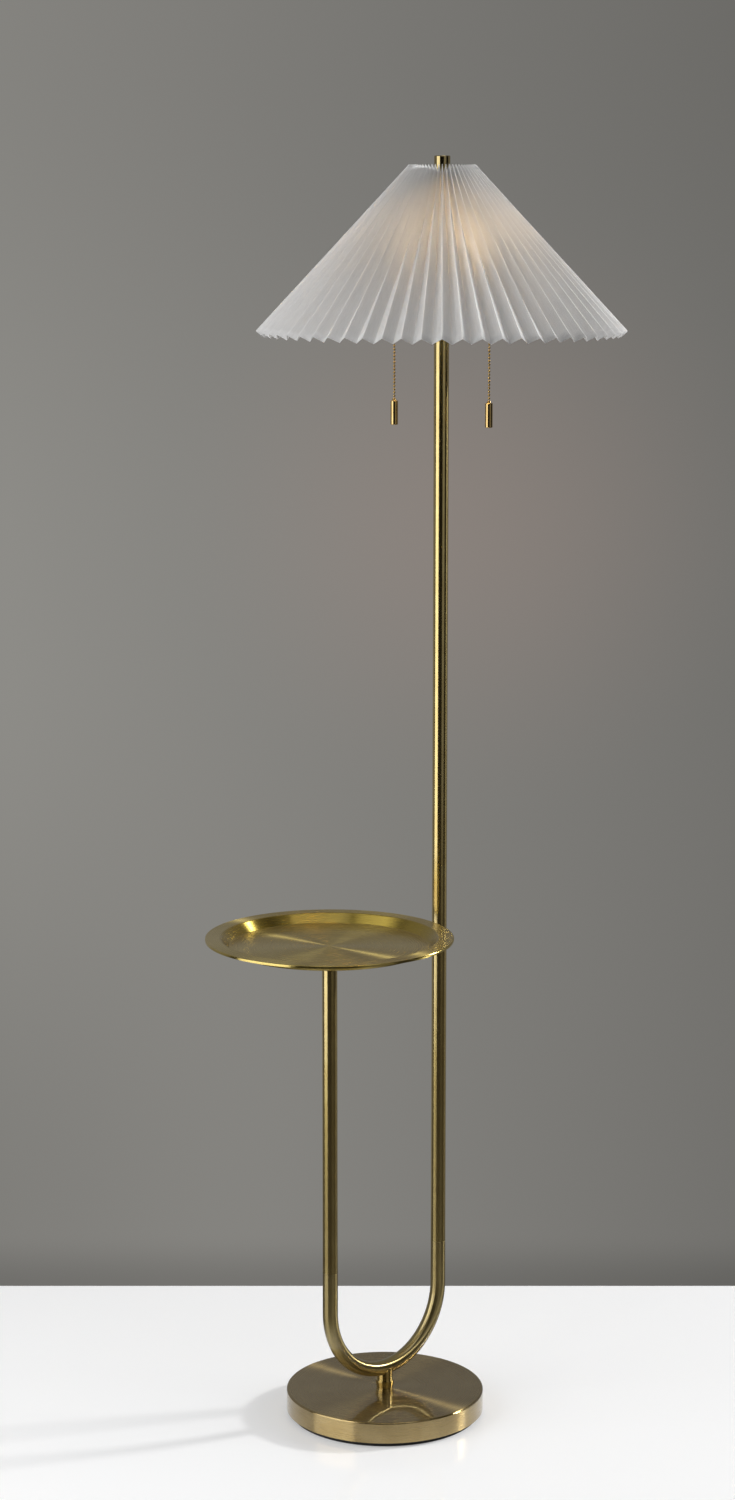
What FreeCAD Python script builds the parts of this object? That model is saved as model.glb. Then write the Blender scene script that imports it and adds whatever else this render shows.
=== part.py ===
import FreeCAD, Part

import math
import os

# Floor lamp with a round tray table. All lengths are in millimetres.
# The frame: origin on the floor under the centre of the base, +Z up. The U tube stands in the XZ
# plane, the pole on its +X arm and the tray post on its -X arm.

# ---- Base -------------------------------------------------------------------------------------
BASE_R = 125.0
BASE_TOP = 32.5
COVER_OVER_PAD = 1.0
COVER_WALL = 1.2
COVER_EDGE_R = 2.2
PAD_R = 119.0
PAD_H = 5.0
WEIGHT_GAP = 0.5
NUT_POCKET_R = 17.0
WASHER_R = 14.0
WASHER_H = 1.5
NUT_ACROSS = 16.0
NUT_H = 6.0
NIPPLE_R = 5.0
NIPPLE_BORE_R = 3.4
NIPPLE_TAIL = 1.0

# ---- Cord entry at the back of the base -------------------------------------------------------
GLAND_Z = 15.0
GLAND_BORE_R = 3.4
GLAND_NECK_R = 5.0
GLAND_FLANGE_R = 7.0
GLAND_FLANGE_H = 1.6
GLAND_FIT = 0.1
GLAND_ROOM = 4.8
DRILL_PAST = 2.0
LEAD_R = 2.5
LEAD_TURN_R = 12.5
LEAD_BRANCH_R = 15.0
LEAD_OVER_PAD = 0.2
LEAD_TURNED = 0.75
LEAD_GROOVE_W = 8.0
LEAD_TO_GLAND = 0.5

# ---- Stem and tubes ---------------------------------------------------------------------------
COLLAR_LOW_R = 10.5
COLLAR_TOP_R = 12.25
COLLAR_H = 10.5
COLLAR_LIP_H = 2.0
NIPPLE_IN_STEM = 2.0
STEM_R = 10.0
STEM_BORE_R = 5.0
STEM_REACH = 6.2
TUBE_R = 9.5
TUBE_WALL = 1.2
BEND_R = 93.0
ARM_L = 54.3
LOWER_POLE_L = 805.0
UPPER_POLE_L = 349.0
COUPLER_L = 50.0
COUPLER_BORE_R = 4.5
COUPLER_FIT = 0.05

# ---- Tray -------------------------------------------------------------------------------------
TRAY_R = 152.3
TRAY_TOP = 635.0
TRAY_DEPTH = 11.5
TRAY_FLANGE_W = 19.3
TRAY_WALL_RUN = 10.0
TRAY_SHEET = 1.2
TRAY_HEM_DROP = 3.0
TRAY_CORNER_R = 2.5
TRAY_RIM_SHARE = 0.9
HUB_FLANGE_R = 32.0
HUB_FLANGE_H = 2.0
HUB_NECK_H = 14.0
BUSH_L = 22.0
STUD_L = 24.0

# ---- Socket cluster on the pole ---------------------------------------------------------------
CLUSTER_R = 18.0
CLUSTER_H = 24.0
CLUSTER_WALL = 1.5
CLUSTER_CAP_H = 3.0
CLUSTER_NIPPLE_L = 24.0
CLUSTER_AZ = -66.6
SOCKET_TO_CLUSTER = 3.0
ARM_R = 5.0
ARM_BORE_R = 3.4
ARM_BEND_R = 8.0
ARM_RISE = 2.0
SOCKET_CAP_H = 14.0
SOCKET_WALL = 0.8
SOCKET_OVER_BULB_CAP = 0.4
SHELL_LAP = 4.0
LINER_WALL = 0.6
CORE_FIT = 0.6
CORE_H = 24.5
CORE_LIFT = 3.0
SLIDE_FIT = 0.1
THREAD_SHELL_WALL = 0.5
THREAD_SHELL_DROP = 2.0
THREAD_SHELL_ROOM = 0.84
RUN_FIT = 0.06

# ---- Bulbs ------------------------------------------------------------------------------------
BULB_R = 27.5
BULB_LENGTH = 98.0
BULB_CAP_R = 13.2
BULB_CAP_H = 26.0
BULB_NECK_STEP = 0.3
BULB_GLASS = 0.8
BULB_TIP_R = 5.0
BULB_TIP_H = 2.5
NECK_STRAIGHT = 4.0

# ---- Pull chains ------------------------------------------------------------------------------
LEVER_ARM = 25.0
PULL_TRAVEL = 8.0
LEVER_Z_OVER_CAP_FOOT = 12.0
LEVER_T = 2.0
LEVER_H = 3.0
LEVER_TAB_T = 0.5
LEVER_TAB_L = 6.5
LEVER_PIN_R = 1.0
LEVER_PIN_L = 9.0
LEVER_PIN_PLAY = 0.5
LEVER_SLOT_PLAY = 0.7
HOOD_R = 5.5
HOOD_WALL = 1.0
HOOD_H = 17.0
HOOD_ROOM = 0.55
HOOD_LIP_R = 6.6
HOOD_LIP_H = 1.6
SWING_OVER_HOOD_FOOT = 1.0
BEAD_R = 1.6
BEAD_PITCH = 4.1
BEAD_WIRE_R = 0.5
BEAD_COUNT = 25
FOB_R = 4.75
FOB_L = 30.0
FOB_NECK_R = 2.9
FOB_NECK_H = 2.4
FOB_EDGE = 0.6
BEAD_PLAY = 0.2

# ---- Shade ------------------------------------------------------------------------------------
PLEATS = 60
PLEAT_WIDTH = 15.3
RIDGE_TOP_R = 40.5
RIDGE_FOOT_R = 227.4
RIDGE_FALL = 200.3
RIDGE_AZ = 226.3
PLEAT_SHEET = 0.6
RING_WIRE_R = 1.5
RING_GAP = 0.25
TOP_RING_DROP = 3.0
FOOT_RING_RISE = 12.0
BULB_HEADROOM = 41.9
SPIDER_ARMS = 3
SPIDER_HUB_R = 11.0
SPIDER_HUB_H = 2.5
SPIDER_ARM_R = 1.0
RISER_R = 3.2
RISER_TOP_IN_FINIAL = 12.0
SEAT_NUT_ACROSS = 12.0
SEAT_NUT_H = 5.0
HUB_PLAY = 0.1
FINIAL_R = 10.0
FINIAL_H = 25.2
FINIAL_EDGE = 0.8

# ---- Worked out from the values above ---------------------------------------------------------
SAME = 1e-6
Z_AXIS = FreeCAD.Vector(0, 0, 1)
Y_AXIS = FreeCAD.Vector(0, 1, 0)
POLE_X = BEND_R
POST_X = -BEND_R
TUBE_BORE_R = TUBE_R - TUBE_WALL
COVER_RIM_Z = PAD_H + COVER_OVER_PAD
LEAD_LOW_Z = PAD_H + LEAD_OVER_PAD + LEAD_R
NIPPLE_FOOT = LEAD_LOW_Z + LEAD_TURNED * LEAD_TURN_R
NUT_FOOT = NIPPLE_FOOT + NIPPLE_TAIL
WASHER_FOOT = NUT_FOOT + NUT_H
POCKET_TOP = WASHER_FOOT + WASHER_H
STEM_FOOT = BASE_TOP + COLLAR_H
BEND_Z = STEM_FOOT + STEM_REACH + TUBE_R + BEND_R
ARM_TOP = BEND_Z + ARM_L
POLE_JOINT_Z = ARM_TOP + LOWER_POLE_L
POLE_TOP = POLE_JOINT_Z + UPPER_POLE_L

TRAY_WELL_R = TRAY_R - TRAY_FLANGE_W
TRAY_FLOOR_R = TRAY_WELL_R - TRAY_WALL_RUN
TRAY_FLOOR = TRAY_TOP - TRAY_DEPTH
TRAY_UNDER = TRAY_FLOOR - TRAY_SHEET
POST_TOP = TRAY_UNDER - HUB_FLANGE_H - HUB_NECK_H

THREAD_R = BULB_CAP_R + RUN_FIT + THREAD_SHELL_WALL
LINER_R = THREAD_R + THREAD_SHELL_ROOM + LINER_WALL
SHELL_R = LINER_R + SLIDE_FIT + SOCKET_WALL
SOCKET_R = SHELL_R + SLIDE_FIT + SOCKET_WALL
CORE_R = LINER_R - LINER_WALL - CORE_FIT
SOCKET_AT = CLUSTER_R + SOCKET_TO_CLUSTER + SOCKET_R
CLUSTER_TOP = POLE_TOP + CLUSTER_H
ARM_Z = POLE_TOP + CLUSTER_H / 2
CAP_FOOT = ARM_Z + ARM_BEND_R + ARM_RISE
CAP_TOP = CAP_FOOT + SOCKET_CAP_H
CAP_EDGE_R = SOCKET_CAP_H / 4
CORE_FOOT = CAP_FOOT + CORE_LIFT
CORE_TOP = CORE_FOOT + CORE_H
BULB_TIP = CORE_TOP + SLIDE_FIT
BULB_CAP_TOP = BULB_TIP + BULB_CAP_H
BULB_NECK_R = BULB_CAP_R + BULB_NECK_STEP
BULB_TOP = BULB_TIP + BULB_LENGTH
BULB_MID = BULB_TOP - BULB_R
SOCKET_TOP = BULB_CAP_TOP + SOCKET_OVER_BULB_CAP

CHAIN_AT = SOCKET_AT + LEVER_ARM
LEVER_Z = CAP_FOOT + LEVER_Z_OVER_CAP_FOOT
CHAIN_HEAD = LEVER_Z + LEVER_TAB_T / 2 + SLIDE_FIT + BEAD_R
HOOD_TOP = CHAIN_HEAD + BEAD_R + HOOD_ROOM + HOOD_WALL
HOOD_FOOT = HOOD_TOP - HOOD_H
SWING_Z = HOOD_FOOT + SWING_OVER_HOOD_FOOT
LAST_BEAD = SWING_Z - BEAD_COUNT * BEAD_PITCH
FOB_TOP = LAST_BEAD - BEAD_R

# The strips between the folds keep one width, so the folds are deep and close at the top and
# shallow and wide at the foot. Depths are measured square to the cone.
FOLD_STEP = math.pi / PLEATS
RIDGE_RUN = RIDGE_FOOT_R - RIDGE_TOP_R
RIDGE_SLANT = math.hypot(RIDGE_RUN, RIDGE_FALL)


def fold_depth(radius, kind, inset):
    """Depth of a fold below the ridge line where the ridges have the given radius."""
    across = radius * math.sin(FOLD_STEP)
    depth = math.sqrt(PLEAT_WIDTH ** 2 - across ** 2) if kind == "valley" else 0.0
    return depth + inset * PLEAT_WIDTH / across


TOP_RING_Z = BULB_TOP + BULB_HEADROOM
INNER_TOP_DROP = fold_depth(RIDGE_TOP_R, "valley", PLEAT_SHEET) * RIDGE_RUN / RIDGE_SLANT
RIDGE_TOP_Z = TOP_RING_Z + TOP_RING_DROP + INNER_TOP_DROP
RIDGE_FOOT_Z = RIDGE_TOP_Z - RIDGE_FALL
HUB_FOOT = TOP_RING_Z - SPIDER_HUB_H / 2
HUB_TOP = TOP_RING_Z + SPIDER_HUB_H / 2
FINIAL_FOOT = HUB_TOP + HUB_PLAY
FINIAL_TOP = FINIAL_FOOT + FINIAL_H
RISER_TOP = FINIAL_FOOT + RISER_TOP_IN_FINIAL
RISER_FOOT = CLUSTER_TOP - CLUSTER_CAP_H


# ---- Small helpers ----------------------------------------------------------------------------
def rod(radius, low, high, x=0.0, y=0.0):
    """An upright cylinder between two heights."""
    return Part.makeCylinder(radius, high - low, FreeCAD.Vector(x, y, low), Z_AXIS)


def pipe(outer, inner, low, high, x=0.0, y=0.0):
    """An upright tube between two heights."""
    return rod(outer, low, high, x, y).cut(rod(inner, low, high, x, y))


def block(low, high):
    """A box between two opposite corners."""
    size = [high[i] - low[i] for i in range(3)]
    return Part.makeBox(size[0], size[1], size[2], FreeCAD.Vector(*low))


def hexagon(across, low, high, x=0.0, y=0.0):
    """A hexagonal prism of a given width across its flats."""
    corner = across / math.sqrt(3)
    points = []
    for i in range(7):
        turn = math.radians(60 * i)
        points.append(FreeCAD.Vector(x + corner * math.cos(turn), y + corner * math.sin(turn), low))
    return Part.Face(Part.makePolygon(points)).extrude(FreeCAD.Vector(0, 0, high - low))


def nut(across, bore, low, high, x=0.0, y=0.0):
    return hexagon(across, low, high, x, y).cut(rod(bore, low, high, x, y))


def turned(points, x=0.0, y=0.0):
    """The solid that a closed outline of (radius, height) points makes about an upright axis."""
    corners = [FreeCAD.Vector(r, 0, z) for r, z in points]
    face = Part.Face(Part.makePolygon(corners + corners[:1]))
    solid = face.revolve(FreeCAD.Vector(0, 0, 0), Z_AXIS, 360)
    solid.translate(FreeCAD.Vector(x, y, 0))
    return solid


def round_path(points, radii):
    """Straight runs through the points, joined at each inner point by a tangent arc."""
    edges = []
    start = points[0]
    for before, corner, after, radius in zip(points, points[1:], points[2:], radii):
        back = (before - corner).normalize()
        on = (after - corner).normalize()
        half = back.getAngle(on) / 2
        reach = radius / math.tan(half)
        enter = corner + back * reach
        leave = corner + on * reach
        middle = corner + (back + on).normalize() * (radius / math.sin(half) - radius)
        edges.append(Part.LineSegment(start, enter).toShape())
        edges.append(Part.Arc(enter, middle, leave).toShape())
        start = leave
    edges.append(Part.LineSegment(start, points[-1]).toShape())
    return edges


def swept(edges, radius):
    """A round bar along a chain of edges."""
    first = edges[0]
    tangent = first.tangentAt(first.FirstParameter)
    begin = first.valueAt(first.FirstParameter)
    ring = Part.Wire([Part.makeCircle(radius, begin, tangent)])
    return Part.Wire(edges).makePipeShell([ring], True, True)


def save(name, *solids):
    shape = solids[0] if len(solids) == 1 else Part.makeCompound(list(solids))
    shape.exportStep("parts/" + name + ".step")


# ---- Base -------------------------------------------------------------------------------------
def gland_inside():
    """Where the gland's inner flange meets the inside of the cover's round wall."""
    return math.sqrt((BASE_R - COVER_WALL) ** 2 - GLAND_FLANGE_R ** 2)


def lead_edges():
    """The line of the supply lead, from the gland in the base, round the U and up the pole."""
    gland = FreeCAD.Vector(0, gland_inside() - GLAND_FLANGE_H - LEAD_TO_GLAND, GLAND_Z)
    under = FreeCAD.Vector(0, 0, LEAD_LOW_Z)
    tilt = math.asin(LEAD_BRANCH_R / (BEND_R + LEAD_BRANCH_R))
    branch_z = BEND_Z - (BEND_R + LEAD_BRANCH_R) * math.cos(tilt)
    branch = FreeCAD.Vector(0, 0, branch_z)
    edges = round_path([gland, under, branch], [LEAD_TURN_R])

    def on_branch(turn):
        x = LEAD_BRANCH_R * (1 - math.cos(turn))
        return FreeCAD.Vector(x, 0, branch_z + LEAD_BRANCH_R * math.sin(turn))

    def on_bend(turn):
        return FreeCAD.Vector(BEND_R * math.sin(turn), 0, BEND_Z - BEND_R * math.cos(turn))

    quarter = math.pi / 2
    edges.append(Part.Arc(branch, on_branch((quarter - tilt) / 2), on_branch(quarter - tilt)).toShape())
    edges.append(Part.Arc(on_bend(tilt), on_bend((tilt + quarter) / 2), on_bend(quarter)).toShape())
    top = FreeCAD.Vector(POLE_X, 0, CLUSTER_TOP - CLUSTER_CAP_H - LEAD_R)
    edges.append(Part.LineSegment(on_bend(quarter), top).toShape())
    return edges


def gland_hole(radius):
    start = gland_inside() - GLAND_FLANGE_H - DRILL_PAST
    reach = BASE_R + GLAND_FLANGE_H + DRILL_PAST - start
    return Part.makeCylinder(radius, reach, FreeCAD.Vector(0, start, GLAND_Z), Y_AXIS)


def make_base():
    pad = rod(PAD_R, 0, PAD_H)
    save("base_pad", pad)

    weight_r = BASE_R - COVER_WALL - WEIGHT_GAP
    weight_top = BASE_TOP - COVER_WALL
    weight = rod(weight_r, PAD_H, weight_top)
    weight = weight.cut(rod(NUT_POCKET_R, PAD_H, POCKET_TOP))
    weight = weight.cut(rod(NIPPLE_R, POCKET_TOP, weight_top))
    groove_top = GLAND_Z + GLAND_FLANGE_R + WEIGHT_GAP
    half = LEAD_GROOVE_W / 2
    weight = weight.cut(block((-half, 0, PAD_H), (half, BASE_R, groove_top)))
    room = GLAND_FLANGE_R + WEIGHT_GAP
    behind = BASE_R - COVER_WALL - GLAND_ROOM
    weight = weight.cut(block((-room, behind, PAD_H), (room, BASE_R, groove_top)))
    save("base_weight", weight)

    cover = rod(BASE_R, COVER_RIM_Z, BASE_TOP)
    brim = [e for e in cover.Edges if abs(e.CenterOfMass.z - BASE_TOP) < SAME]
    cover = cover.makeFillet(COVER_EDGE_R, brim)
    cover = cover.cut(rod(BASE_R - COVER_WALL, COVER_RIM_Z, BASE_TOP - COVER_WALL))
    cover = cover.cut(rod(NIPPLE_R, COVER_RIM_Z, BASE_TOP))
    cover = cover.cut(gland_hole(GLAND_NECK_R + GLAND_FIT))
    save("base_cover", cover)

    save("base_washer", pipe(WASHER_R, NIPPLE_R, WASHER_FOOT, POCKET_TOP))
    save("base_nut", nut(NUT_ACROSS, NIPPLE_R, NUT_FOOT, WASHER_FOOT))
    save("base_nipple", pipe(NIPPLE_R, NIPPLE_BORE_R, NIPPLE_FOOT, STEM_FOOT + NIPPLE_IN_STEM))

    inside = gland_inside()
    spans = [(inside - GLAND_FLANGE_H, inside, GLAND_FLANGE_R)]
    spans.append((inside, BASE_R, GLAND_NECK_R))
    spans.append((BASE_R, BASE_R + GLAND_FLANGE_H, GLAND_FLANGE_R))
    rings = [Part.makeCylinder(r, b - a, FreeCAD.Vector(0, a, GLAND_Z), Y_AXIS) for a, b, r in spans]
    gland = rings[0].fuse(rings[1:]).cut(gland_hole(GLAND_BORE_R))
    save("cord_grommet", gland.removeSplitter())

    save("supply_lead", swept(lead_edges(), LEAD_R))


# ---- Stem, U tube, pole and post --------------------------------------------------------------
def u_bar(radius):
    """A solid bar along the U: its half circle and the two straight arms."""
    corner = FreeCAD.Vector(POLE_X, 0, BEND_Z)
    other = FreeCAD.Vector(POST_X, 0, BEND_Z)
    rise = FreeCAD.Vector(0, 0, ARM_TOP - BEND_Z)
    bottom = FreeCAD.Vector(0, 0, BEND_Z - BEND_R)
    line = [Part.LineSegment(corner + rise, corner).toShape(), Part.Arc(corner, bottom, other).toShape(),
            Part.LineSegment(other, other + rise).toShape()]
    return swept(line, radius)


def make_stem_and_tubes():
    lip = STEM_FOOT - COLLAR_LIP_H
    collar = turned([(NIPPLE_R, BASE_TOP), (COLLAR_LOW_R, BASE_TOP), (COLLAR_TOP_R, lip),
                     (COLLAR_TOP_R, STEM_FOOT), (NIPPLE_R, STEM_FOOT)])
    save("stem_collar", collar)

    stem = pipe(STEM_R, STEM_BORE_R, STEM_FOOT, BEND_Z - BEND_R)
    save("stem_boss", stem.cut(u_bar(TUBE_R)))

    tube = u_bar(TUBE_R).cut(u_bar(TUBE_BORE_R))
    save("u_tube", tube.cut(rod(STEM_BORE_R, STEM_FOOT, BEND_Z - BEND_R)))

    save("lower_pole", pipe(TUBE_R, TUBE_BORE_R, ARM_TOP, POLE_JOINT_Z, POLE_X))
    save("upper_pole", pipe(TUBE_R, TUBE_BORE_R, POLE_JOINT_Z, POLE_TOP, POLE_X))
    save("tray_post", pipe(TUBE_R, TUBE_BORE_R, ARM_TOP, POST_TOP, POST_X))

    sleeve = TUBE_BORE_R - COUPLER_FIT
    couplers = []
    for x, z in ((POLE_X, ARM_TOP), (POST_X, ARM_TOP), (POLE_X, POLE_JOINT_Z)):
        low = z - COUPLER_L / 2
        couplers.append(pipe(sleeve, COUPLER_BORE_R, low, low + COUPLER_L, x))
    save("tube_couplers", *couplers)


# ---- Tray -------------------------------------------------------------------------------------
def make_tray():
    slope = math.atan2(TRAY_DEPTH, TRAY_WALL_RUN)
    shift = TRAY_SHEET * math.tan(slope / 2)
    outline = [(0, TRAY_FLOOR), (TRAY_FLOOR_R, TRAY_FLOOR), (TRAY_WELL_R, TRAY_TOP), (TRAY_R, TRAY_TOP)]
    outline += [(TRAY_R, TRAY_TOP - TRAY_HEM_DROP), (TRAY_R - TRAY_SHEET, TRAY_TOP - TRAY_HEM_DROP)]
    outline += [(TRAY_R - TRAY_SHEET, TRAY_TOP - TRAY_SHEET), (TRAY_WELL_R + shift, TRAY_TOP - TRAY_SHEET)]
    outline += [(TRAY_FLOOR_R + shift, TRAY_UNDER), (0, TRAY_UNDER)]
    tray = turned(outline)
    corners = []
    for edge in tray.Edges:
        if edge.Closed and abs(edge.BoundBox.XMax - TRAY_FLOOR_R) < 2 * TRAY_SHEET:
            corners.append(edge)
        elif edge.Closed and abs(edge.BoundBox.XMax - TRAY_WELL_R) < 2 * TRAY_SHEET:
            corners.append(edge)
    tray = tray.makeFillet(TRAY_CORNER_R, corners)
    rim = [e for e in tray.Edges if e.Closed and abs(e.BoundBox.XMax - TRAY_R) < SAME
           and abs(e.CenterOfMass.z - TRAY_TOP) < SAME]
    tray = tray.makeFillet(TRAY_SHEET * TRAY_RIM_SHARE, rim)
    tray.translate(FreeCAD.Vector(POST_X, 0, 0))
    save("tray", tray)

    flange_foot = TRAY_UNDER - HUB_FLANGE_H
    stud_foot = POST_TOP - STUD_L / 2
    hub = rod(HUB_FLANGE_R, flange_foot, TRAY_UNDER, POST_X).fuse(rod(TUBE_R, POST_TOP, flange_foot, POST_X))
    hub = hub.cut(rod(NIPPLE_R, POST_TOP, POST_TOP + STUD_L / 2, POST_X))
    save("tray_hub", hub.removeSplitter())
    save("tray_stud", pipe(NIPPLE_R, NIPPLE_BORE_R, stud_foot, stud_foot + STUD_L, POST_X))
    sleeve = TUBE_BORE_R - COUPLER_FIT
    save("tray_post_bush", pipe(sleeve, NIPPLE_R, POST_TOP - BUSH_L, POST_TOP, POST_X))


# ---- Socket cluster ---------------------------------------------------------------------------
def at_side(shape, side):
    """Turns a shape made on the +X side of the pole's axis to the side of one socket."""
    placed = shape.copy()
    turn = CLUSTER_AZ if side > 0 else CLUSTER_AZ + 180
    placed.rotate(FreeCAD.Vector(0, 0, 0), Z_AXIS, turn)
    placed.translate(FreeCAD.Vector(POLE_X, 0, 0))
    return placed


def make_cluster():
    sleeve = TUBE_BORE_R - COUPLER_FIT
    save("cluster_bush", pipe(sleeve, NIPPLE_R, POLE_TOP - BUSH_L, POLE_TOP, POLE_X))
    nipple_foot = POLE_TOP - CLUSTER_NIPPLE_L / 2
    nipple = pipe(NIPPLE_R, NIPPLE_BORE_R, nipple_foot, POLE_TOP + CLUSTER_WALL + NIPPLE_R, POLE_X)
    save("cluster_nipple", nipple)

    cap_foot = CLUSTER_TOP - CLUSTER_CAP_H
    body = rod(CLUSTER_R, POLE_TOP, cap_foot, POLE_X)
    body = body.cut(rod(CLUSTER_R - CLUSTER_WALL, POLE_TOP + CLUSTER_WALL, cap_foot, POLE_X))
    body = body.cut(rod(NIPPLE_R, POLE_TOP, cap_foot, POLE_X))
    hole_start = FreeCAD.Vector(NIPPLE_R, 0, ARM_Z)
    hole = Part.makeCylinder(ARM_R, CLUSTER_R, hole_start, FreeCAD.Vector(1, 0, 0))
    for side in (-1, 1):
        body = body.cut(at_side(hole, side))
    save("cluster_body", body)
    save("cluster_cap", pipe(CLUSTER_R, RISER_R, cap_foot, CLUSTER_TOP, POLE_X))
    save("riser_rod", rod(RISER_R, RISER_FOOT, RISER_TOP, POLE_X))


def lever_slot():
    """The upright slot that the pull lever needs through the wall and core of a socket."""
    half = (LEVER_T + LEVER_SLOT_PLAY) / 2
    drop = PULL_TRAVEL * SOCKET_R / LEVER_ARM
    low = LEVER_Z - LEVER_H / 2 - drop - LEVER_SLOT_PLAY
    high = LEVER_Z + LEVER_H / 2 + LEVER_SLOT_PLAY
    return block((SOCKET_AT - LEVER_H, -half, low), (SOCKET_AT + SOCKET_R + HOOD_WALL, half, high))


def make_socket(name, side):
    inner_r = SOCKET_R - SOCKET_WALL
    slot = lever_slot()

    knee = FreeCAD.Vector(SOCKET_AT, 0, ARM_Z)
    start = FreeCAD.Vector(CLUSTER_R - CLUSTER_WALL, 0, ARM_Z)
    end = FreeCAD.Vector(SOCKET_AT, 0, CAP_FOOT + SOCKET_WALL)
    line = round_path([start, knee, end], [ARM_BEND_R])
    arm = swept(line, ARM_R).cut(swept(line, ARM_BORE_R))
    save(name + "_socket_arm", at_side(arm, side))

    cap = rod(SOCKET_R, CAP_FOOT, CAP_TOP, SOCKET_AT)
    brim = [e for e in cap.Edges if abs(e.CenterOfMass.z - CAP_FOOT) < SAME]
    cap = cap.makeFillet(CAP_EDGE_R, brim)
    cap = cap.cut(rod(inner_r, CAP_FOOT + CAP_EDGE_R, CAP_TOP, SOCKET_AT))
    cap = cap.cut(rod(CORE_R, CAP_FOOT + SOCKET_WALL, CAP_TOP, SOCKET_AT))
    cap = cap.cut(rod(ARM_R, CAP_FOOT, CAP_TOP, SOCKET_AT)).cut(slot)
    save(name + "_socket_cap", at_side(cap, side))

    shell = pipe(SHELL_R, SHELL_R - SOCKET_WALL, CAP_TOP - SHELL_LAP, SOCKET_TOP, SOCKET_AT).cut(slot)
    save(name + "_socket_shell", at_side(shell, side))
    liner = pipe(LINER_R, LINER_R - LINER_WALL, CAP_TOP - SHELL_LAP, SOCKET_TOP, SOCKET_AT).cut(slot)
    save(name + "_socket_liner", at_side(liner, side))

    core = rod(CORE_R, CORE_FOOT, CORE_TOP, SOCKET_AT).cut(slot)
    pin_half = LEVER_PIN_L / 2 + LEVER_PIN_PLAY
    pin_start = FreeCAD.Vector(SOCKET_AT, -pin_half, LEVER_Z)
    pin_room = Part.makeCylinder(LEVER_PIN_R + RUN_FIT, 2 * pin_half, pin_start, Y_AXIS)
    save(name + "_socket_core", at_side(core.cut(pin_room), side))

    thread_top = SOCKET_TOP - THREAD_SHELL_DROP
    thread = pipe(THREAD_R, THREAD_R - THREAD_SHELL_WALL, CORE_TOP, thread_top, SOCKET_AT)
    save(name + "_thread_shell", at_side(thread, side))

    make_bulb(name, side)
    make_pull(name, side)


def make_bulb(name, side):
    cap = rod(BULB_CAP_R, BULB_TIP + BULB_TIP_H, BULB_CAP_TOP, SOCKET_AT)
    cap = cap.fuse(rod(BULB_TIP_R, BULB_TIP, BULB_TIP + BULB_TIP_H, SOCKET_AT)).removeSplitter()
    save(name + "_bulb_cap", at_side(cap, side))

    # The neck's hollow arc starts upright and runs tangent into the round of the bulb.
    neck_top = BULB_CAP_TOP + NECK_STRAIGHT
    rise = BULB_MID - neck_top
    arc = (BULB_NECK_R ** 2 + rise ** 2 - BULB_R ** 2) / (2 * (BULB_R - BULB_NECK_R))

    def skin(inset):
        """One face of the glass, from the foot of the neck to the crown."""
        ball = BULB_R - inset
        hollow = arc + inset
        foot = FreeCAD.Vector(BULB_NECK_R - inset, 0, BULB_CAP_TOP)
        start = FreeCAD.Vector(BULB_NECK_R - inset, 0, neck_top)
        angle = math.atan2(rise, BULB_NECK_R + arc)
        centre = FreeCAD.Vector(BULB_NECK_R + arc, 0, neck_top)
        half = centre + FreeCAD.Vector(-math.cos(angle / 2), 0, math.sin(angle / 2)) * hollow
        meet = centre + FreeCAD.Vector(-math.cos(angle), 0, math.sin(angle)) * hollow
        side_point = FreeCAD.Vector(ball, 0, BULB_MID)
        crown = FreeCAD.Vector(0, 0, BULB_MID + ball)
        return [Part.LineSegment(foot, start).toShape(), Part.Arc(start, half, meet).toShape(),
                Part.Arc(meet, side_point, crown).toShape()]

    outer = skin(0)
    inner = skin(BULB_GLASS)
    foot = Part.LineSegment(inner[0].Vertexes[0].Point, outer[0].Vertexes[0].Point).toShape()
    crown = Part.LineSegment(outer[2].Vertexes[-1].Point, inner[2].Vertexes[-1].Point).toShape()
    outline = Part.Wire(Part.__sortEdges__([foot] + outer + [crown] + inner))
    glass = Part.Face(outline).revolve(FreeCAD.Vector(0, 0, 0), Z_AXIS, 360)
    glass.translate(FreeCAD.Vector(SOCKET_AT, 0, 0))
    save(name + "_bulb_glass", at_side(glass, side))


# ---- Pull chain, its lever and hood -----------------------------------------------------------
def hood_plan(radius, low, high):
    """A wall that is round about the chain's axis and runs straight back to the socket."""
    back = block((SOCKET_AT, -radius, low), (CHAIN_AT, radius, high))
    return rod(radius, low, high, CHAIN_AT).fuse(back).removeSplitter()


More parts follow.
